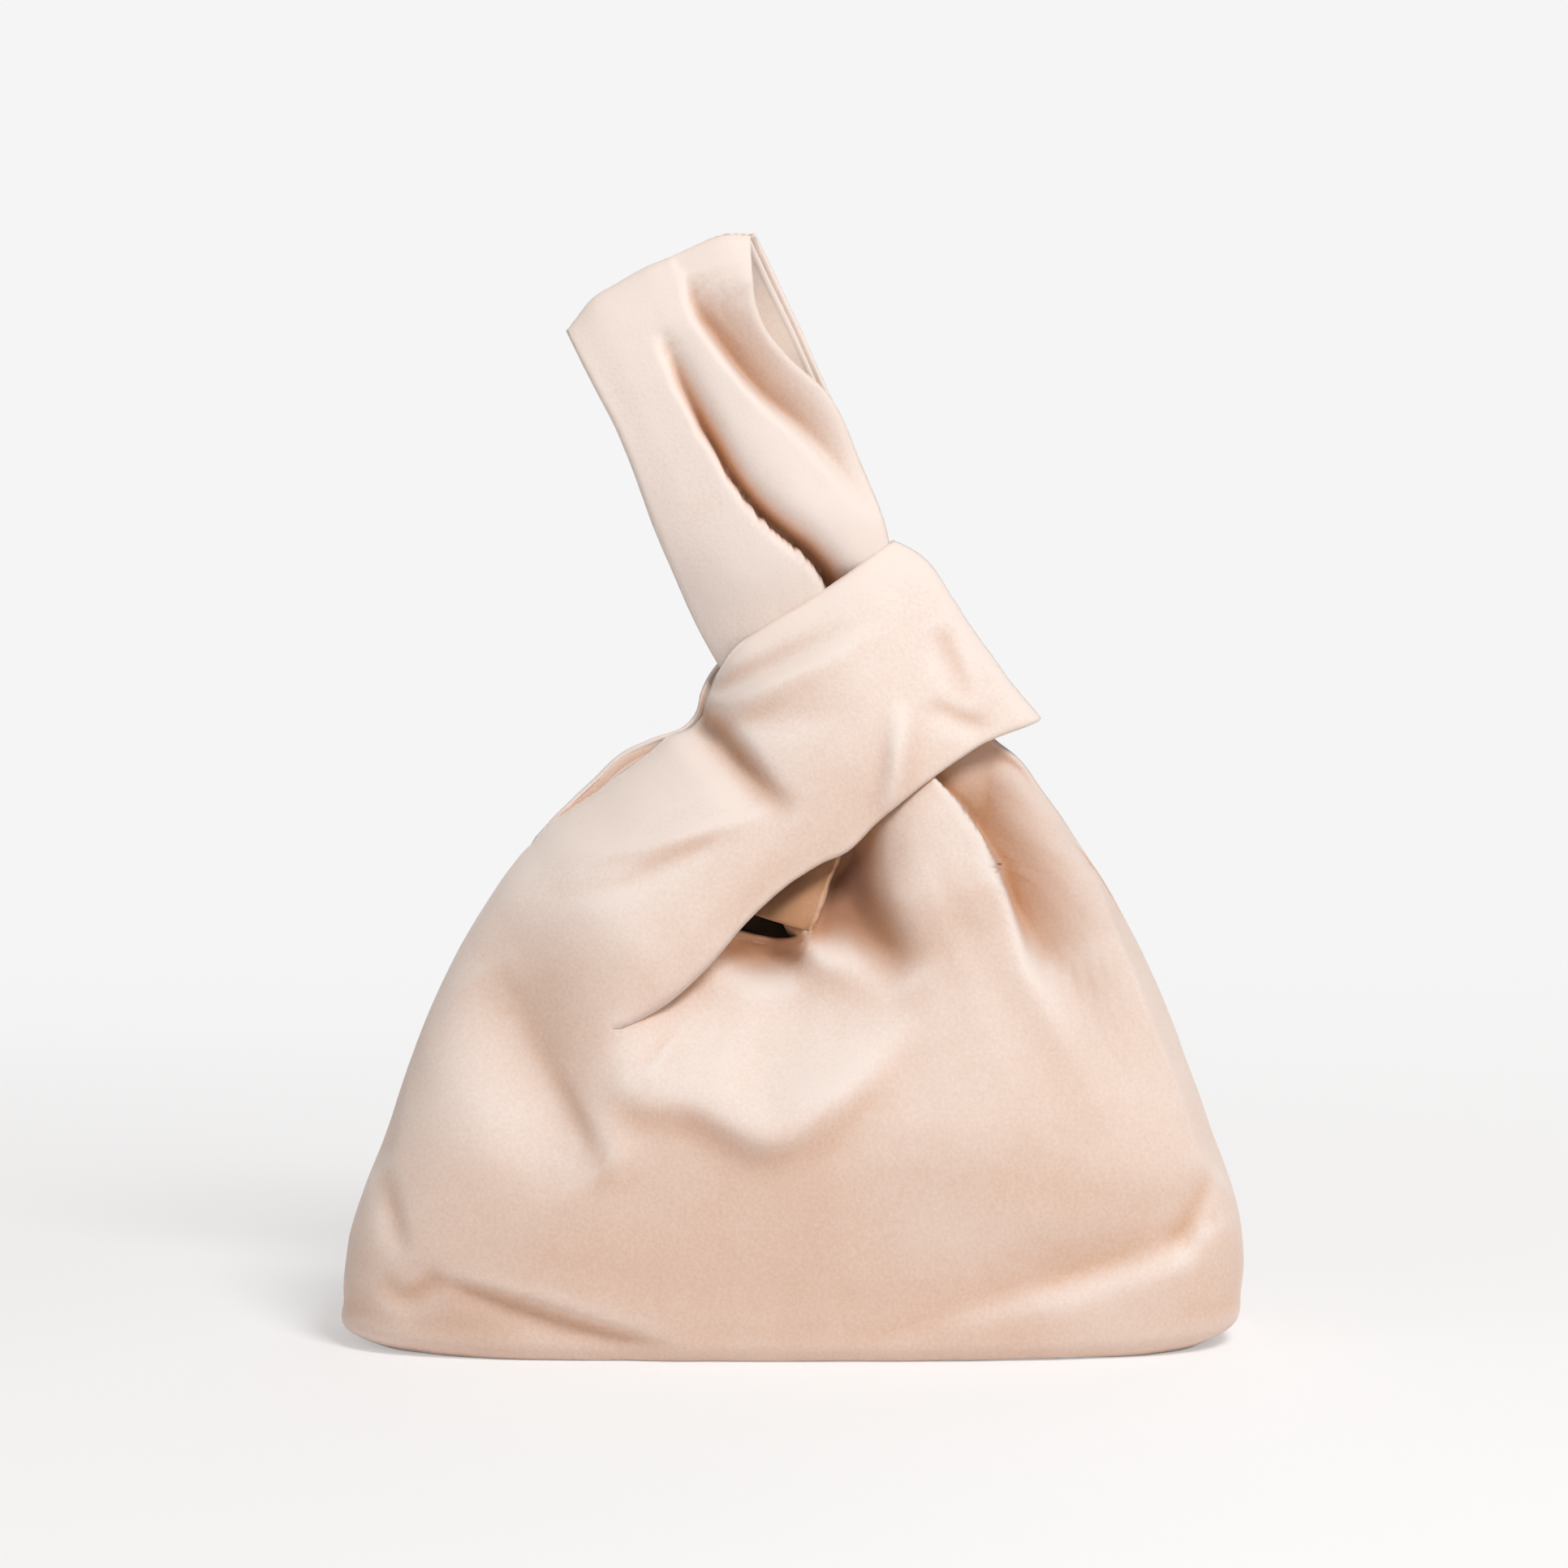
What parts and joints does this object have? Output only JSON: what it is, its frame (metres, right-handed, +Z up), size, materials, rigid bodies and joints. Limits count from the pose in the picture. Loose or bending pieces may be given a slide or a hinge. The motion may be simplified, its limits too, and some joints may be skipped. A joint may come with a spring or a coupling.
{
  "type": "knot bag",
  "caption": "Lined cloth pouch with a flat base; its long shoulder loop is drawn up through the short one, which knots the mouth shut and leaves a carrying handle.",
  "frame": {"origin": "on the floor, under the middle of the base", "axes": "+Z up, +X along the bag's width towards the long loop's shoulder, the front faces -Y"},
  "size_m": [0.26, 0.1014, 0.3232],
  "materials": {
    "outer_cloth": "blush cloth with a fine soft nap",
    "lining_cloth": "plain tan lining",
    "seam_thread": "matching thread"
  },
  "bodies": {
    "bag": {"front_panel": "outer_cloth", "front_panel_lining": "lining_cloth", "back_panel": "outer_cloth", "back_panel_lining": "lining_cloth", "short_loop_front": "outer_cloth", "short_loop_front_lining": "lining_cloth", "short_loop_back": "outer_cloth", "short_loop_back_lining": "lining_cloth", "long_loop_root_front": "outer_cloth", "long_loop_root_front_lining": "lining_cloth", "long_loop_root_back": "outer_cloth", "long_loop_root_back_lining": "lining_cloth", "short_loop_seam": "seam_thread", "left_side_seam": "seam_thread", "right_side_seam": "seam_thread", "base_seam": "seam_thread"},
    "stem": {"handle_stem": "outer_cloth"},
    "neck": {"handle_neck": "outer_cloth"},
    "handle": {"handle_front": "outer_cloth", "handle_front_lining": "lining_cloth", "handle_back": "outer_cloth", "handle_back_lining": "lining_cloth", "handle_top_seam": "seam_thread"}
  },
  "joints": [
    {"name": "handle_draw", "type": "slide", "parent": "bag", "child": "stem", "axis": [-0.4131, 0, 0.9107], "range_m": [0, 0.015]},
    {"name": "handle_swing", "type": "hinge", "parent": "stem", "child": "neck", "pos_m": [0.00964, 0, 0.20436], "axis": [0, 1, 0], "range_deg": [-10, 10]},
    {"name": "handle_fold", "type": "hinge", "parent": "neck", "child": "handle", "pos_m": [-0.00213, 0, 0.23031], "axis": [0.9107, 0, 0.4131], "range_deg": [-75, 75]}
  ]
}
